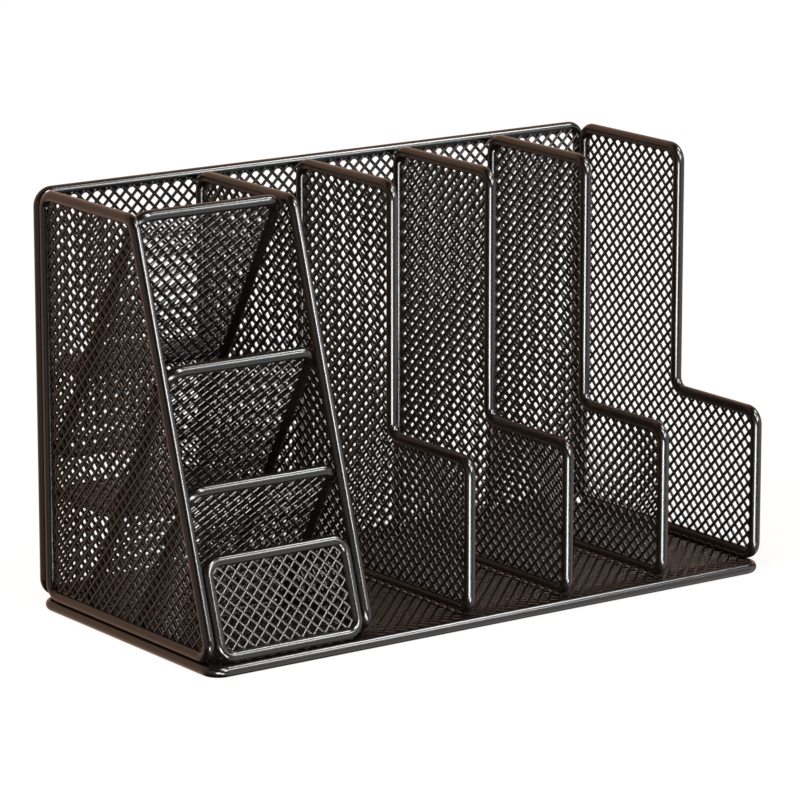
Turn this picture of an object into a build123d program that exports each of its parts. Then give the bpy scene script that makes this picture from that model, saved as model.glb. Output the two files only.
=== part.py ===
"""Mesh desk organizer: a pen bay with four leaning pockets beside four upright file bays.

Every panel is one closed loop of round wire with a sheet of diamond mesh inside it. The
panels stand on the base panel and against the back panel, and are welded where they touch.

Frame: millimetres, +Z up, +Y to the back, +X to the right. The origin is on the desk, under
the middle of the base.
"""
import math
import os

from build123d import *

# overall size, over the outside of the wires
width = 320.0
depth = 150.0
height = 202.0

# frame wire
wire = 5.4  # diameter over the coating
bend = 6.5  # radius of a bend at the wire's centre line
seam = 0.1  # room between wires or sheets that are welded side by side

# bays, from the left: one pen bay, then equal file bays
pen_bay = 86.0  # centre to centre of its two side wires
file_bays = 4

# outline of the file dividers and the right side
front_setback = 2.0  # upright fronts behind the base's front wire
tall_depth = 75.0  # tall rear part, centre to centre
step_height = 82.0  # top of the low front part, above the desk

# outline of the two pen bay sides
pen_top_depth = 76.5  # level top edge, centre to centre of its bends

# leaning pen pockets
pocket_lean = 60.0  # degrees up from the desk
middle_bar_height = 132.4  # bar centres above the desk
front_bar_height = 80.3
pen_front_height = 49.5
upper_shelf_depth = 21.0  # rear pocket's floor, centre to centre
lower_shelf_height = 57.0  # middle pocket's floor, wire centres above the desk

# diamond mesh
mesh_pitch = 6.35  # corner to corner of one diamond
strand = 1.2  # width of a strand
net_thickness = 1.0
net_room = 0.05  # sheet's edge clear of its wire
rim = 1.3  # least solid edge round a sheet
gap_limit = 150  # most gaps that one sheet is drawn with
sliver = 0.12  # smaller shares of a cut diamond stay closed

# places that follow from the sizes
radius = wire / 2
lay = wire + seam  # centre distance of two wires side by side

x_left = -width / 2 + radius
x_right = width / 2 - radius
x_pen = x_left + pen_bay
file_pitch = (x_right - x_pen) / file_bays

y_back = depth / 2 - radius
y_base_front = -depth / 2 + radius
y_rear = y_back - lay
y_front = y_base_front + front_setback
y_tall = y_rear - tall_depth
y_pen_top = y_rear - pen_top_depth

z_base = radius
z_low = z_base + lay
z_top = height - radius
z_step = step_height - radius

# the slanted front edge of the pen bay, as depth lost per millimetre of height
front_slope = (y_pen_top - y_front) / (z_top - z_low)
front_angle = math.atan2(z_top - z_low, y_pen_top - y_front)
lean = math.radians(pocket_lean)

# a bent corner beside a straight wire comes closer than two wires side by side: the pocket
# frames stand in from the sides, and the shelves back from the leaning walls, until the
# nearest point of the bend just lies against the other wire
bend_turns = [math.radians(degrees) for degrees in range(91)]


def inset_beside(crossing):
    """Inset of a bent frame beside a wire that it crosses at this angle."""
    return max(
        math.sqrt(max(lay**2 - (math.sin(crossing) * bend * (1 - math.cos(turn))) ** 2, 0))
        - bend * (1 - math.sin(turn))
        for turn in bend_turns
    )


# half widths of the leaning frames: the rear one ends beside the sides' upright rear wires, the
# others start beside the slanted front wires
rear_half = pen_bay / 2 - max(inset_beside(lean), inset_beside(math.pi / 2 - lean))
pocket_half = pen_bay / 2 - max(inset_beside(lean), inset_beside(lean + front_angle))
shelf_stand_off = max(
    math.sqrt(max(lay**2 - (bend * (1 - math.sin(turn))) ** 2, 0))
    - math.sin(lean) * bend * (1 - math.cos(turn))
    for turn in bend_turns
)

# a sheet in the middle of its wires stops at their inner side; a sheet level with the
# wires' face stops where the round wire is as deep as the sheet
middle_reach = radius + net_room
level_reach = math.sqrt(radius**2 - (radius - net_thickness) ** 2) + net_room


def upright(x):
    """Plane of a side or a divider: its directions are Y and Z."""
    return Plane(origin=(x, 0, 0), x_dir=(0, 1, 0), z_dir=(1, 0, 0))


def leaning(y, z, rise_y, rise_z):
    """Plane across the pen bay through a bar at (y, z): its directions are X and up the wall."""
    return Plane(
        origin=((x_left + x_pen) / 2, y, z),
        x_dir=(1, 0, 0),
        z_dir=(0, -rise_z, rise_y),
    )


def rectangle(left, low, right, high):
    return [(left, low), (right, low), (right, high), (left, high)]


def wire_loop(plane, corners):
    """One closed loop of frame wire, bent at each corner."""
    with BuildPart() as loop:
        with BuildLine(plane) as route:
            FilletPolyline(*corners, radius=bend, close=True)
        with BuildSketch(Plane(origin=route.line @ 0, z_dir=route.line % 0)):
            Circle(radius)
        sweep()
    return loop


def edge_limits(corners, reach):
    """Half planes (a, b, c), inside where a*u + b*v >= c, that keep gaps off a sheet's rim.

    The corners run counter-clockwise round a convex outline. Each corner adds a half plane
    across it, which keeps the rim round the bend.
    """
    limits = []
    inner_bend = bend - reach
    count = len(corners)
    for i in range(count):
        (u0, v0), (u1, v1), (u2, v2) = corners[i - 1], corners[i], corners[(i + 1) % count]
        back = math.hypot(u1 - u0, v1 - v0)
        ahead = math.hypot(u2 - u1, v2 - v1)
        normal_back = ((v0 - v1) / back, (u1 - u0) / back)
        normal = ((v1 - v2) / ahead, (u2 - u1) / ahead)
        limits.append((*normal, normal[0] * u1 + normal[1] * v1 + reach + rim))
        half = math.hypot(normal_back[0] + normal[0], normal_back[1] + normal[1])
        across = ((normal_back[0] + normal[0]) / half, (normal_back[1] + normal[1]) / half)
        cut = (reach + inner_bend) / (half / 2) - inner_bend + rim
        limits.append((*across, across[0] * u1 + across[1] * v1 + cut))
    return limits


def cut_gap(gap, limits):
    """The part of one diamond gap that lies inside the half planes."""
    for a, b, c in limits:
        kept = []
        for i, (u, v) in enumerate(gap):
            u0, v0 = gap[i - 1]
            side, side0 = a * u + b * v - c, a * u0 + b * v0 - c
            if (side > 0) != (side0 > 0):
                share = side0 / (side0 - side)
                kept.append((u0 + share * (u - u0), v0 + share * (v - v0)))
            if side > 0:
                kept.append((u, v))
        gap = kept
    return gap


def spread(gap):
    """Area of one gap."""
    return sum(u0 * v1 - u1 * v0 for (u0, v0), (u1, v1) in zip(gap, gap[1:] + gap[:1])) / 2


def diamond_gaps(regions, pitch, edge):
    """All gaps of a diamond net over one or more convex regions, cut off at their edges.

    Whole columns and rows fill the space inside the rim, so the net ends in half diamonds.
    """
    bounds = [corner for corners, _ in regions for corner in corners]
    u_low, u_high = min(u for u, _ in bounds) + edge, max(u for u, _ in bounds) - edge
    v_low, v_high = min(v for _, v in bounds) + edge, max(v for _, v in bounds) - edge
    columns = max(round((u_high - u_low) / pitch), 1)
    rows = max(round((v_high - v_low) / pitch), 1)
    u_step, v_step = (u_high - u_low) / columns / 2, (v_high - v_low) / rows / 2
    u_half, v_half = u_step - strand / math.sqrt(2), v_step - strand / math.sqrt(2)
    gaps = []
    for row in range(2 * rows + 1):
        for column in range(row % 2, 2 * columns + 1, 2):
            u, v = u_low + column * u_step, v_low + row * v_step
            whole = [(u + u_half, v), (u, v + v_half), (u - u_half, v), (u, v - v_half)]
            parts = [cut_gap(whole, limits) for _, limits in regions]
            best = max(parts, key=spread)
            if spread(best) > sliver * spread(whole):
                gaps.append(best)
    return gaps


def net_sheet(plane, corners, regions, reach, near, far):
    """One sheet of mesh inside a loop: a holed face from near to far along the plane's normal."""
    limited = [(region, edge_limits(region, reach)) for region in regions]
    pitch = max(mesh_pitch, math.sqrt(2 * spread(corners) / gap_limit))
    gaps = diamond_gaps(limited, pitch, reach + rim)
    while len(gaps) > gap_limit:
        pitch *= 1.02
        gaps = diamond_gaps(limited, pitch, reach + rim)
    with BuildPart() as sheet:
        with BuildSketch(plane.offset(near)) as outline:
            with BuildLine():
                FilletPolyline(*corners, radius=bend, close=True)
            make_face()
            offset(amount=-reach, mode=Mode.REPLACE)
            edge = outline.face().outer_wire()
            holes = [Wire.make_polygon(gap, close=True) for gap in gaps]
            add(Face(edge, holes), mode=Mode.REPLACE)
        extrude(amount=far - near)
    return sheet


pieces = {}


def panel(name, plane, corners, regions=None, level=False):
    """A loop of wire and its sheet. A level sheet lies flush with the loop's face."""
    pieces[f"{name}_frame"] = wire_loop(plane, corners)
    if level:
        span = (level_reach, radius - net_thickness, radius)
    else:
        span = (middle_reach, -net_thickness / 2, net_thickness / 2)
    pieces[f"{name}_net"] = net_sheet(plane, corners, regions or [corners], *span)


# base: flat on the desk, its mesh level with the top of its wires so that the dividers rest on it
panel("base", Plane.XY.offset(z_base), rectangle(x_left, y_base_front, x_right, y_back), level=True)

# back: upright on the base's back wire, its mesh level with the front of its wires
back_plane = Plane(origin=(0, y_back, 0), x_dir=(1, 0, 0), z_dir=(0, -1, 0))
panel("back", back_plane, rectangle(x_left, z_low, x_right, z_top), level=True)

# the two sides of the pen bay: upright rear, level top, slanted front
pen_side = [(y_front, z_low), (y_rear, z_low), (y_rear, z_top), (y_pen_top, z_top)]
panel("left_side", upright(x_left), pen_side)
panel("pen_divider", upright(x_pen), pen_side)

# file dividers and right side: a tall rear part and a low front part in one stepped loop
stepped = [
    (y_front, z_low),
    (y_rear, z_low),
    (y_rear, z_top),
    (y_tall, z_top),
    (y_tall, z_step),
    (y_front, z_step),
]
tall_part = rectangle(y_tall, z_low, y_rear, z_top)
low_part = rectangle(y_front, z_low, y_rear, z_step)
for bay in range(1, file_bays + 1):
    name = "right_side" if bay == file_bays else f"file_divider_{bay}"
    panel(name, upright(x_pen + bay * file_pitch), stepped, regions=[tall_part, low_part])

# leaning pocket walls: parallel, with the rear bar where the sides start to bend down and the
# two others at the slanted front edge
y_rear_bar = y_pen_top + bend * math.tan(front_angle / 2)
y_middle_bar = y_front + front_slope * (middle_bar_height - z_low)
y_front_bar = y_front + front_slope * (front_bar_height - z_low)

# the rear wall ends at the back panel's mesh, above the lower shelf, the two others on the base's
z_rear_foot = max(z_top - (y_rear - y_rear_bar) * math.tan(lean), lower_shelf_height + lay)
walls = (
    ("rear_pocket", rear_half, y_rear_bar, z_top, z_rear_foot),
    ("middle_pocket", pocket_half, y_middle_bar, middle_bar_height, z_low),
    ("front_pocket", pocket_half, y_front_bar, front_bar_height, z_low),
)
for name, half, y_bar, z_bar, z_foot in walls:
    wall_plane = leaning(y_bar, z_bar, -math.cos(lean), math.sin(lean))
    wall = (z_bar - z_foot) / math.sin(lean)
    panel(name, wall_plane, rectangle(-half, -wall, half, 0))

# low front of the pen bay: in the slanted front plane, side by side with the slanted wires
front_rise = math.hypot(front_slope, 1)
pen_front_wall = (pen_front_height - z_low) * front_rise
pen_front_half = pen_bay / 2 - lay
pen_front_plane = leaning(y_front, z_low, front_slope / front_rise, 1 / front_rise)
panel("pen_front", pen_front_plane, rectangle(-pen_front_half, 0, pen_front_half, pen_front_wall))

# shelves: level floors from the back panel's mesh to the leaning wall in front of them
shelf_back = shelf_stand_off / math.sin(lean)
y_upper_front = y_rear - upper_shelf_depth
upper_shelf_height = z_top - (y_upper_front - shelf_back - y_rear_bar) * math.tan(lean)
y_lower_front = y_middle_bar + (middle_bar_height - lower_shelf_height) / math.tan(lean) + shelf_back
x_pocket = (x_left + x_pen) / 2
for name, half, z_shelf, y_shelf_front in (
    ("upper_shelf", rear_half, upper_shelf_height, y_upper_front),
    ("lower_shelf", pocket_half, lower_shelf_height, y_lower_front),
):
    shelf = rectangle(x_pocket - half, y_shelf_front, x_pocket + half, y_rear)
    panel(name, Plane.XY.offset(z_shelf), shelf)

os.makedirs("parts", exist_ok=True)
for name, piece in pieces.items():
    piece.part.label = name
    export_step(piece.part, f"parts/{name}.step")
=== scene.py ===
"""Mesh desk organizer: panels of black coated wire and diamond mesh, on a white table."""
import math
import bpy
import numpy as np
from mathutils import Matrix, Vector


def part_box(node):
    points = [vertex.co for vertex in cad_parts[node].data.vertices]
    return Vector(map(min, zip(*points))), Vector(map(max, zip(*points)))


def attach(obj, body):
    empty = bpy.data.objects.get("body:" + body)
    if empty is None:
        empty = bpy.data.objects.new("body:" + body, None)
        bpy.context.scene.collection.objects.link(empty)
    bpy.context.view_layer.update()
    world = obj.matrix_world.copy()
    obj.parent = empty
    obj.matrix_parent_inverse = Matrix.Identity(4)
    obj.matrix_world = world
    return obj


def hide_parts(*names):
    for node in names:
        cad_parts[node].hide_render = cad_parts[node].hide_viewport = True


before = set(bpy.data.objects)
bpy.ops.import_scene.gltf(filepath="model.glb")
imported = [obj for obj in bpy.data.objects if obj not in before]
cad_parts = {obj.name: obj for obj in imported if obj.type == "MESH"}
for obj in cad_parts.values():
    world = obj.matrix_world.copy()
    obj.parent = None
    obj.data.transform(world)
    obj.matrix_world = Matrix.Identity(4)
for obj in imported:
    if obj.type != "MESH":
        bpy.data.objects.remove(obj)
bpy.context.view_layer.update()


# Frame wires.
# Fourteen closed loops of drawn steel wire, bent at each corner and butt welded, then coated
# with black powder. The solids have the true shape, so they stay and only get the coat.
def linear(hex_colour):
    """sRGB hex to linear: a straight line near black, a 2.4 power above it."""
    value = np.array([int(hex_colour[i : i + 2], 16) / 255 for i in (1, 3, 5)])
    curve = np.where(value <= 0.04045, value / 12.92, ((value + 0.055) / 1.055) ** 2.4)
    return (*curve.tolist(), 1.0)


def add(tree, kind, inputs=(), **settings):
    """One node with its settings; an input is a value, or another node's output to link."""
    node = tree.nodes.new(kind)
    for key, value in settings.items():
        setattr(node, key, value)
    for key, value in dict(inputs).items():
        if isinstance(value, bpy.types.NodeSocket):
            tree.links.new(value, node.inputs[key])
        else:
            node.inputs[key].default_value = value
    return node


def powder_coat(name, dark, light, roughness, shine, peel):
    """Satin black powder coat, baked on: an even black film with a fine orange peel.

    The eye gets a near black body, a sharp line of light along each round wire, and a faint
    change of tint and gloss from place to place where the film is thicker.
    """
    material = bpy.data.materials.new(name)
    material.use_nodes = True
    tree = material.node_tree
    tree.nodes.clear()
    place = add(tree, "ShaderNodeTexCoord").outputs["Object"]
    film_patch = 0.022  # metres across one thicker or thinner patch of film
    film = add(tree, "ShaderNodeTexNoise", {"Vector": place, "Scale": 1 / film_patch, "Detail": 3.0})
    tint = add(
        tree,
        "ShaderNodeMix",
        {"Factor": film.outputs["Fac"], "A": linear(dark), "B": linear(light)},
        data_type="RGBA",
    )
    spread = 0.04  # roughness lost or gained between thick and thin film
    gloss = add(
        tree,
        "ShaderNodeMapRange",
        {"Value": film.outputs["Fac"], "To Min": roughness - spread, "To Max": roughness + spread},
    )
    # real orange peel is about 0.4 mm across; it is drawn coarser, or it would not show at all
    peel_size, peel_depth = 0.0014, 0.0001
    grain = add(tree, "ShaderNodeTexNoise", {"Vector": place, "Scale": 1 / peel_size, "Detail": 1.0})
    bump = add(
        tree,
        "ShaderNodeBump",
        {"Height": grain.outputs["Fac"], "Strength": peel, "Distance": peel_depth},
    )
    coat = add(
        tree,
        "ShaderNodeBsdfPrincipled",
        {
            "Base Color": tint.outputs[2],
            "Roughness": gloss.outputs["Result"],
            "Normal": bump.outputs["Normal"],
            "IOR": 1.5,
            "Specular IOR Level": shine,
        },
    )
    add(tree, "ShaderNodeOutputMaterial", {"Surface": coat.outputs["BSDF"]})
    return material


# The coat's colours are a warm brown-black where the real coat is plain black: the brown is painted warm
# reflection, standing in for the warm light the coat mirrors.
wire_coat = powder_coat(
    "black_powder_coat_on_wire", "#0e0b09", "#14100d", roughness=0.22, shine=0.35, peel=0.05
)
for name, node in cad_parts.items():
    if name.endswith("_frame"):
        for coat_slot in node.material_slots:
            coat_slot.material = wire_coat

# Base mesh.
# A flat sheet of wire mesh welded inside the base loop, level with the top of its wire, which
# carries the dividers. Two sets of straight strands cross at right angles, welded where they meet.
wire = 0.0054  # diameter over the coat
bend = 0.0065  # radius of a loop's bend, at the wire's centre line
pitch = 0.00635  # corner to corner of one diamond
slant = math.sqrt(0.5)  # both parts of a strand's direction, at 45 degrees
strand_radius = 0.00075
nest = 0.0001  # the two sets of strands lie this far above and below the sheet's middle
buried = 0.0011  # strand ends stop this far from the wire's centre line
level = strand_radius + nest  # depth of the sheet's middle below a wire's face


def inside(corners):
    """Half planes (a, b, c) with a*u + b*v >= c: a convex outline, drawn in by buried.

    The corners run counter-clockwise. Each corner adds a half plane that touches its bend.
    """
    corner = np.array(corners)
    along = np.roll(corner, -1, 0) - corner
    along /= np.linalg.norm(along, axis=1)[:, None]
    normal = np.c_[-along[:, 1], along[:, 0]]
    across = normal + np.roll(normal, 1, 0)
    half = np.linalg.norm(across, axis=1)[:, None] / 2
    across /= 2 * half
    bend_in = bend - buried
    edges = np.c_[normal, (normal * corner).sum(1) + buried]
    bends = np.c_[across, (across * corner).sum(1) + (bend / half[:, 0] - bend_in)]
    return np.r_[edges, bends]


def chords(regions, start, heading):
    """Stretches of parallel lines inside a union of convex regions.

    A line start + t*heading is inside a region between its last entry and its first exit;
    stretches that overlap are joined. Gives line numbers, first t and last t.
    """
    tiny = 1e-9  # an edge whose rate is smaller runs along the lines
    lows, highs = [], []
    for region in regions:
        rate = region[:, :2] @ heading
        room = region[:, 2][:, None] - region[:, :2] @ start.T
        cross = room / np.where(abs(rate) < tiny, 1, rate)[:, None]
        low = np.where((rate > tiny)[:, None], cross, -np.inf).max(0)
        high = np.where((rate < -tiny)[:, None], cross, np.inf).min(0)
        shut = ((abs(rate) < tiny)[:, None] & (room > 0)).any(0) | (high <= low)
        lows.append(np.where(shut, np.inf, low))
        highs.append(np.where(shut, -np.inf, high))
    lows, highs = np.array(lows), np.array(highs)
    order = lows.argsort(0)
    lows, highs = np.take_along_axis(lows, order, 0), np.take_along_axis(highs, order, 0)
    reach = np.maximum.accumulate(highs, 0)
    opens = np.isfinite(lows)
    opens[1:] &= lows[1:] > reach[:-1]
    closes = np.isfinite(lows)
    closes[:-1] &= opens[1:] | ~np.isfinite(lows[1:])
    line = np.broadcast_to(np.arange(lows.shape[1]), lows.shape)
    return line.T[opens.T], lows.T[opens.T], reach.T[closes.T]


def strands(regions, centre, heading, side, depth):
    """One set of straight strands: an eight sided section carried along each chord.

    Lines lie one step apart across the heading, counted from the centre, at one depth in the
    sheet. Gives vertices in sheet coordinates (u, v, w) and faces. A second ring close to each
    end keeps the shading straight along the strand.
    """
    step = pitch / math.sqrt(2)
    cover = 3  # the lines reach past the farthest edge from any centre
    reach = np.abs(np.concatenate([region[:, 2] for region in regions])).max() * cover
    number = np.arange(-int(reach / step), int(reach / step) + 1)
    start = centre + number[:, None] * step * side
    line, low, high = chords(regions, start, heading)
    run = np.stack([low, low + strand_radius, high - strand_radius, high], 1)
    kept = high - low > pitch / 4  # shorter stubs in the corners are left out
    run, line = run[kept], line[kept]
    middle = start[line][:, None] + run[:, :, None] * heading
    sides = 8
    turn = (np.arange(sides) + 0.5) / sides * math.tau
    handed = np.sign(heading[0] * side[1] - heading[1] * side[0])
    across = strand_radius * np.cos(turn)
    u = middle[:, :, :1] + across * side[0]
    v = middle[:, :, 1:] + across * side[1]
    w = np.broadcast_to(depth + strand_radius * np.sin(turn) * handed, u.shape)
    vertices = np.stack([u, v, w], 3).reshape(-1, 3)
    rings = run.shape[1]
    first = np.arange(len(line))[:, None] * rings * sides
    k = np.arange(sides)
    ring = (first + np.arange(rings - 1) * sides).reshape(-1, 1)
    after = (k + 1) % sides
    walls = np.stack([ring + k, ring + after, ring + sides + after, ring + sides + k], 2).reshape(-1, 4)
    return vertices, walls, np.r_[first + k[::-1], first + (rings - 1) * sides + k]


# The mesh's colours carry the same painted warm reflection, a brown tint on a coat that is really plain
# black.
mesh_coat = powder_coat(
    "black_powder_coat_on_mesh", "#0c0907", "#120d0b", roughness=0.26, shine=0.35, peel=0.03
)


def mesh_sheet(name, origin, u_axis, v_axis, regions, centre, rising_side=1):
    """Both sets of strands of one sheet, placed at origin + u*u_axis + v*v_axis + w*normal.

    Two strands cross at the centre. The rising strands lie rising_side * nest out along the normal,
    the falling ones as far the other way.
    """
    centre = np.array(centre)
    rising, falling = np.array([slant, slant]), np.array([slant, -slant])
    vertices, walls, caps = strands(regions, centre, rising, falling, nest * rising_side)
    other, other_walls, other_caps = strands(regions, centre, falling, rising, -nest * rising_side)
    count = len(vertices)
    flat = np.r_[vertices, other]
    u_axis, v_axis = np.array(u_axis, float), np.array(v_axis, float)
    axes = np.array([u_axis, v_axis, np.cross(u_axis, v_axis)])
    points = np.array(origin) + flat @ axes
    mesh = bpy.data.meshes.new(name)
    faces = [*np.r_[walls, other_walls + count].tolist(), *np.r_[caps, other_caps + count].tolist()]
    mesh.from_pydata(points.tolist(), [], faces)
    mesh.shade_smooth()
    mesh.materials.append(mesh_coat)
    sheet = bpy.data.objects.new(name, mesh)
    bpy.context.scene.collection.objects.link(sheet)
    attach(sheet, "root")
    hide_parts(name.replace("_mesh", "_net"))
    return sheet


def rectangle(left, low, right, high):
    """Corners, counter-clockwise."""
    return [(left, low), (right, low), (right, high), (left, high)]


def loop_box(node):
    """Lowest and highest corners of a loop's centre line box."""
    low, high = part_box(node)
    return np.array(low) + wire / 2, np.array(high) - wire / 2


low, high = loop_box("base_frame")
base = rectangle(low[0], low[1], high[0], high[1])
base_mesh = mesh_sheet("base_mesh", (0, 0, wire - level), (1, 0, 0), (0, 1, 0), [inside(base)], (0, 0))

# Back mesh.
# The same sheet welded inside the back loop, level with the front of its wire, so that the
# uprights of the dividers lie against it.
low, high = loop_box("back_frame")
back = rectangle(low[0], low[2], high[0], high[2])
back_face = low[1] - wire / 2 + level
back_middle = (0, (low[2] + high[2]) / 2)
back_mesh = mesh_sheet("back_mesh", (0, back_face, 0), (1, 0, 0), (0, 0, 1), [inside(back)], back_middle)

# Pen bay sides.
# Two sheets of the same mesh with a slanted front edge, each welded in the middle of its loop's
# wire. Sheets are cut from the roll anywhere, so their strands need not line up.
pen_top_depth = 0.0765  # level top edge of the loop, between the corners at its wire's centre
crossing_height = 0.1  # two strands cross at this height, and along Y at the sheet's cut
low, high = loop_box("left_side_frame")
rear, foot, top = high[1], low[2], high[2]
# the loop's bend cuts off its sharp front corner, which is as far forward as the dividers' fronts
front = loop_box("right_side_frame")[0][1]
pen_side = inside([(front, foot), (rear, foot), (rear, top), (rear - pen_top_depth, top)])
for name, cut in (("left_side", 0.0014), ("pen_divider", 0.0049)):
    low, high = loop_box(f"{name}_frame")
    x = (low[0] + high[0]) / 2
    mesh_sheet(f"{name}_mesh", (x, 0, 0), (0, 1, 0), (0, 0, 1), [pen_side], (cut, crossing_height))

# File dividers and right side.
# Four stepped sheets of the same mesh, tall at the back and low at the front, each welded in the
# middle of its loop's wire.
tall_depth = 0.075  # tall part, between the centres of its wires
step_height = 0.082 - wire / 2  # top of the low part, at the wire's centre
cuts = {
    "file_divider_1": 0.0,
    "file_divider_2": 0.0049,
    "file_divider_3": 0.0049,
    "right_side": 0.0049,
}
for name, cut in cuts.items():
    low, high = loop_box(f"{name}_frame")
    x = (low[0] + high[0]) / 2
    tall_front = high[1] - tall_depth
    tall = inside(rectangle(tall_front, low[2], high[1], high[2]))
    short = inside(rectangle(low[1], low[2], high[1], step_height))
    # the inner corner: the sheet follows the bend that rounds it
    corner = (tall_front - step_height) * slant - bend * (math.sqrt(2) - 1) + buried
    nook = np.array(
        [
            (slant, -slant, corner),
            (1, 0, tall_front - bend),
            (-1, 0, -tall_front - bend),
            (0, 1, step_height - bend),
            (0, -1, -step_height - bend),
        ]
    )
    regions = [tall, short, nook]
    mesh_sheet(f"{name}_mesh", (x, 0, 0), (0, 1, 0), (0, 0, 1), regions, (cut, crossing_height))

# Pen pocket walls and pen front.
# Sheets of the same mesh across the pen bay, each in a loop that is welded between the left side
# and the pen divider. Three lean to the front, and the low front lies in the slanted front edge.
falling_in_front = -0.4  # the strands' sides: falling ones in front, both sets nearly level
leans = {"rear_pocket": -1, "middle_pocket": -1, "front_pocket": -1, "pen_front": 1}
for name, lean in leans.items():
    low, high = loop_box(f"{name}_frame")
    rise = np.array([0, (high[1] - low[1]) * lean, high[2] - low[2]])
    length = np.linalg.norm(rise)
    foot = (0, high[1] if lean < 0 else low[1], low[2])
    wall = rectangle(low[0], 0, high[0], length)
    middle = ((low[0] + high[0]) / 2, length / 2)
    up_wall = rise / length
    mesh_sheet(f"{name}_mesh", foot, (1, 0, 0), up_wall, [inside(wall)], middle, falling_in_front)

# Shelves.
# Two level sheets of the same mesh that close the rear and the middle pocket below. Their loops
# are welded between the left side and the pen divider.
for name in ("upper_shelf", "lower_shelf"):
    low, high = loop_box(f"{name}_frame")
    shelf = rectangle(low[0], low[1], high[0], high[1])
    middle = ((low[0] + high[0]) / 2, (low[1] + high[1]) / 2)
    z = (low[2] + high[2]) / 2
    mesh_sheet(f"{name}_mesh", (0, 0, z), (1, 0, 0), (0, 1, 0), [inside(shelf)], middle)

# Table and light.
# A white light table with raised sides, in a dim warm room. The table glows evenly, so that it is
# white to the eye from every side and keeps only a faint shadow of the object.
scene = bpy.context.scene
scene.view_settings.view_transform = "Standard"
world = bpy.data.worlds.new("warm_room")
scene.world = world
world.use_nodes = True
tree = world.node_tree
tree.nodes.clear()
sky = add(tree, "ShaderNodeBackground", {"Color": linear("#3c3029"), "Strength": 1.0})
add(tree, "ShaderNodeOutputWorld", {"Surface": sky.outputs["Background"]})

table_paint = bpy.data.materials.new("white_light_table")
table_paint.use_nodes = True
tree = table_paint.node_tree
tree.nodes.clear()
table_white = 1.08  # a little over white, so that its far parts are white too
shade = 0.18  # share of the table's white that shadows can take away
paint = add(tree, "ShaderNodeBsdfDiffuse", {"Color": (shade, shade, shade, 1)})
glow = add(tree, "ShaderNodeEmission", {"Color": (1, 1, 1, 1), "Strength": table_white - shade})
both = add(tree, "ShaderNodeAddShader", {0: paint.outputs["BSDF"], 1: glow.outputs["Emission"]})
add(tree, "ShaderNodeOutputMaterial", {"Surface": both.outputs["Shader"]})
half_table, sides_height = 6.0, 1.2
table_corners = rectangle(-half_table, -half_table, half_table, half_table)
table_mesh = bpy.data.meshes.new("table")
table_mesh.from_pydata(
    [(x, y, z) for z in (0, sides_height) for x, y in table_corners],
    [],
    [(0, 1, 2, 3), *((k, k + 4, (k + 1) % 4 + 4, (k + 1) % 4) for k in range(4))],
)
table_mesh.materials.append(table_paint)
table = bpy.data.objects.new("table", table_mesh)
scene.collection.objects.link(table)
# the wires mirror the dim room and the panels in it, not the table
table.visible_glossy = False
table.visible_shadow = False

sun_data = bpy.data.lights.new("skylight", "SUN")
sun_data.energy = 0.75 * math.pi  # pi makes white paper white
sun_data.angle = math.radians(60)
sun_data.color = linear("#fff4ea")[:3]
sun = bpy.data.objects.new("skylight", sun_data)
scene.collection.objects.link(sun)
sun.rotation_euler = Vector((0.4, 0.3, -1)).to_track_quat("-Z", "Y").to_euler()
sun.visible_glossy = False


def soft_box(name, place, size, brightness, colour="#ffffff"):
    """A rectangular panel that faces the object and shows in its reflections alone.

    Brightness 1 is that of white paper on the table.
    """
    lamp = bpy.data.lights.new(name, "AREA")
    lamp.shape = "RECTANGLE"
    lamp.size, lamp.size_y = size
    lamp.energy = brightness * math.pi * size[0] * size[1]
    lamp.color = linear(colour)[:3]
    box = bpy.data.objects.new(name, lamp)
    scene.collection.objects.link(box)
    box.location = place
    middle = Vector((0, 0, 0.1))
    box.rotation_euler = (middle - Vector(place)).to_track_quat("-Z", "Y").to_euler()
    box.visible_camera = False
    box.visible_diffuse = False
    return box


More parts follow.
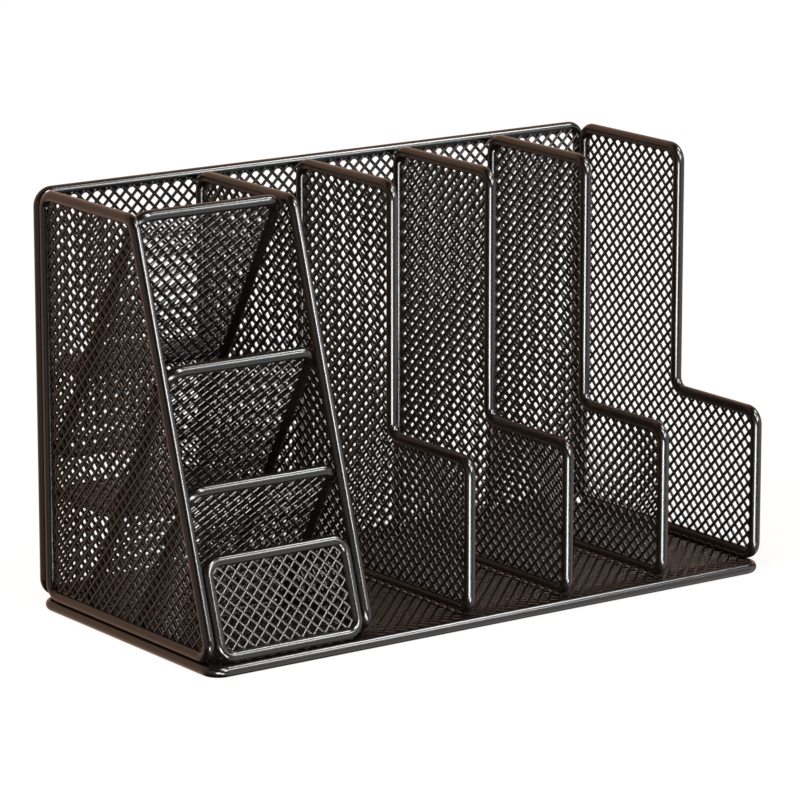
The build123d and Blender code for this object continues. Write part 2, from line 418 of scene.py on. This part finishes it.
# the uprights' lines of light come from the low panel, the slanted wires' from the high one and the
# level bars' from the two at the right; the walls are what the rest of the coat mirrors
low_front = soft_box("low_front_panel", (-0.76, -1.06, -0.2), (0.5, 0.44), 53)
high_front = soft_box("high_front_panel", (0.16, -1.21, 0.655), (0.3, 0.5), 62)
soft_box("floor_front_panel", (-0.30, -1.24, -0.57), (0.32, 0.26), 82)
soft_box("right_panel", (0.71, -1.02, 0.76), (0.25, 0.36), 42)
soft_box("upper_panel", (0.67, -0.32, 1.01), (0.3, 0.32), 46)
soft_box("brow_panel", (-0.04, -0.8, 1.05), (0.3, 0.3), 70)
ceiling = soft_box("ceiling_panel", (-0.13, 0.16, 1.28), (0.6, 0.6), 6.5, "#ffc9a8")
soft_box("right_wall", (1.24, -1.04, -0.43), (2.4, 3.06), 1.6)
soft_box("left_wall", (-1.35, -0.36, 0.1), (1.1, 1.13), 0.8, "#fff0e2")
soft_box("back_wall", (0, 0.5, 0.2), (5.0, 2.0), 1.0, "#ffd0b6")


def link_light(lamp, things, state):
    """The lamp shows in these things alone (INCLUDE), or in all but these (EXCLUDE)."""
    group = bpy.data.collections.new(lamp.name)
    for thing in things:
        group.objects.link(thing)
    for member in group.collection_objects:
        member.light_linking.link_state = state
    lamp.light_linking.receiver_collection = group


# the uprights at the rear left and the back's strands show no line of light from the front, and
# the warm ceiling shows in the base alone
link_light(low_front, [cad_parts["left_side_frame"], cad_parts["back_frame"]], "EXCLUDE")
link_light(high_front, [back_mesh], "EXCLUDE")
link_light(ceiling, [base_mesh], "INCLUDE")

# Camera.
# The photograph's view: from the front left and a little above, through a long lens that draws
# far and near edges almost alike.
camera_data = bpy.data.cameras.new("camera")
camera_data.sensor_width = 36
camera_data.lens = 208.8
camera = bpy.data.objects.new("camera", camera_data)
scene.collection.objects.link(camera)
azimuth, elevation, distance = math.radians(-35.47), math.radians(13.158), 2.1841
target = Vector((-0.01244, -0.01224, 0.09736))
outward, upward = math.cos(elevation), math.sin(elevation)
away = Vector((math.sin(azimuth) * outward, -math.cos(azimuth) * outward, upward))
camera.location = target + away * distance
camera.rotation_euler = (-away).to_track_quat("-Z", "Y").to_euler()
camera_data.clip_start, camera_data.clip_end = 0.01, 50
scene.camera = camera
